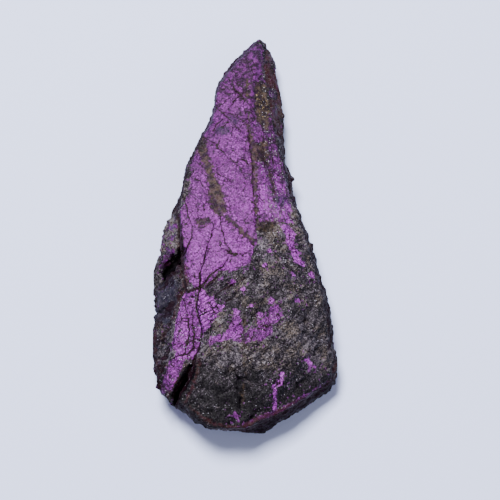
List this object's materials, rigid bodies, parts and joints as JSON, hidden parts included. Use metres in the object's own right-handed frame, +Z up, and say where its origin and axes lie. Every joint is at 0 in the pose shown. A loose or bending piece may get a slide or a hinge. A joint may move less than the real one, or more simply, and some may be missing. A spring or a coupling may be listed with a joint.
{
  "type": "purpurite specimen",
  "caption": "Tapering cleaved flake of purpurite with a silky violet face, fine cracks, a brown vein and rough grey matrix.",
  "frame": {"origin": "on the table, under the middle of the bounding box", "axes": "+X across the stone to the viewer's right, +Y along the stone towards its tip, +Z up out of the violet face"},
  "size_m": [0.0196, 0.043, 0.0085],
  "materials": {
    "stone": "silky violet cleavage face, dull granular grey matrix, near-black broken sides"
  },
  "bodies": {
    "root": {"purpurite": "stone"}
  },
  "joints": []
}
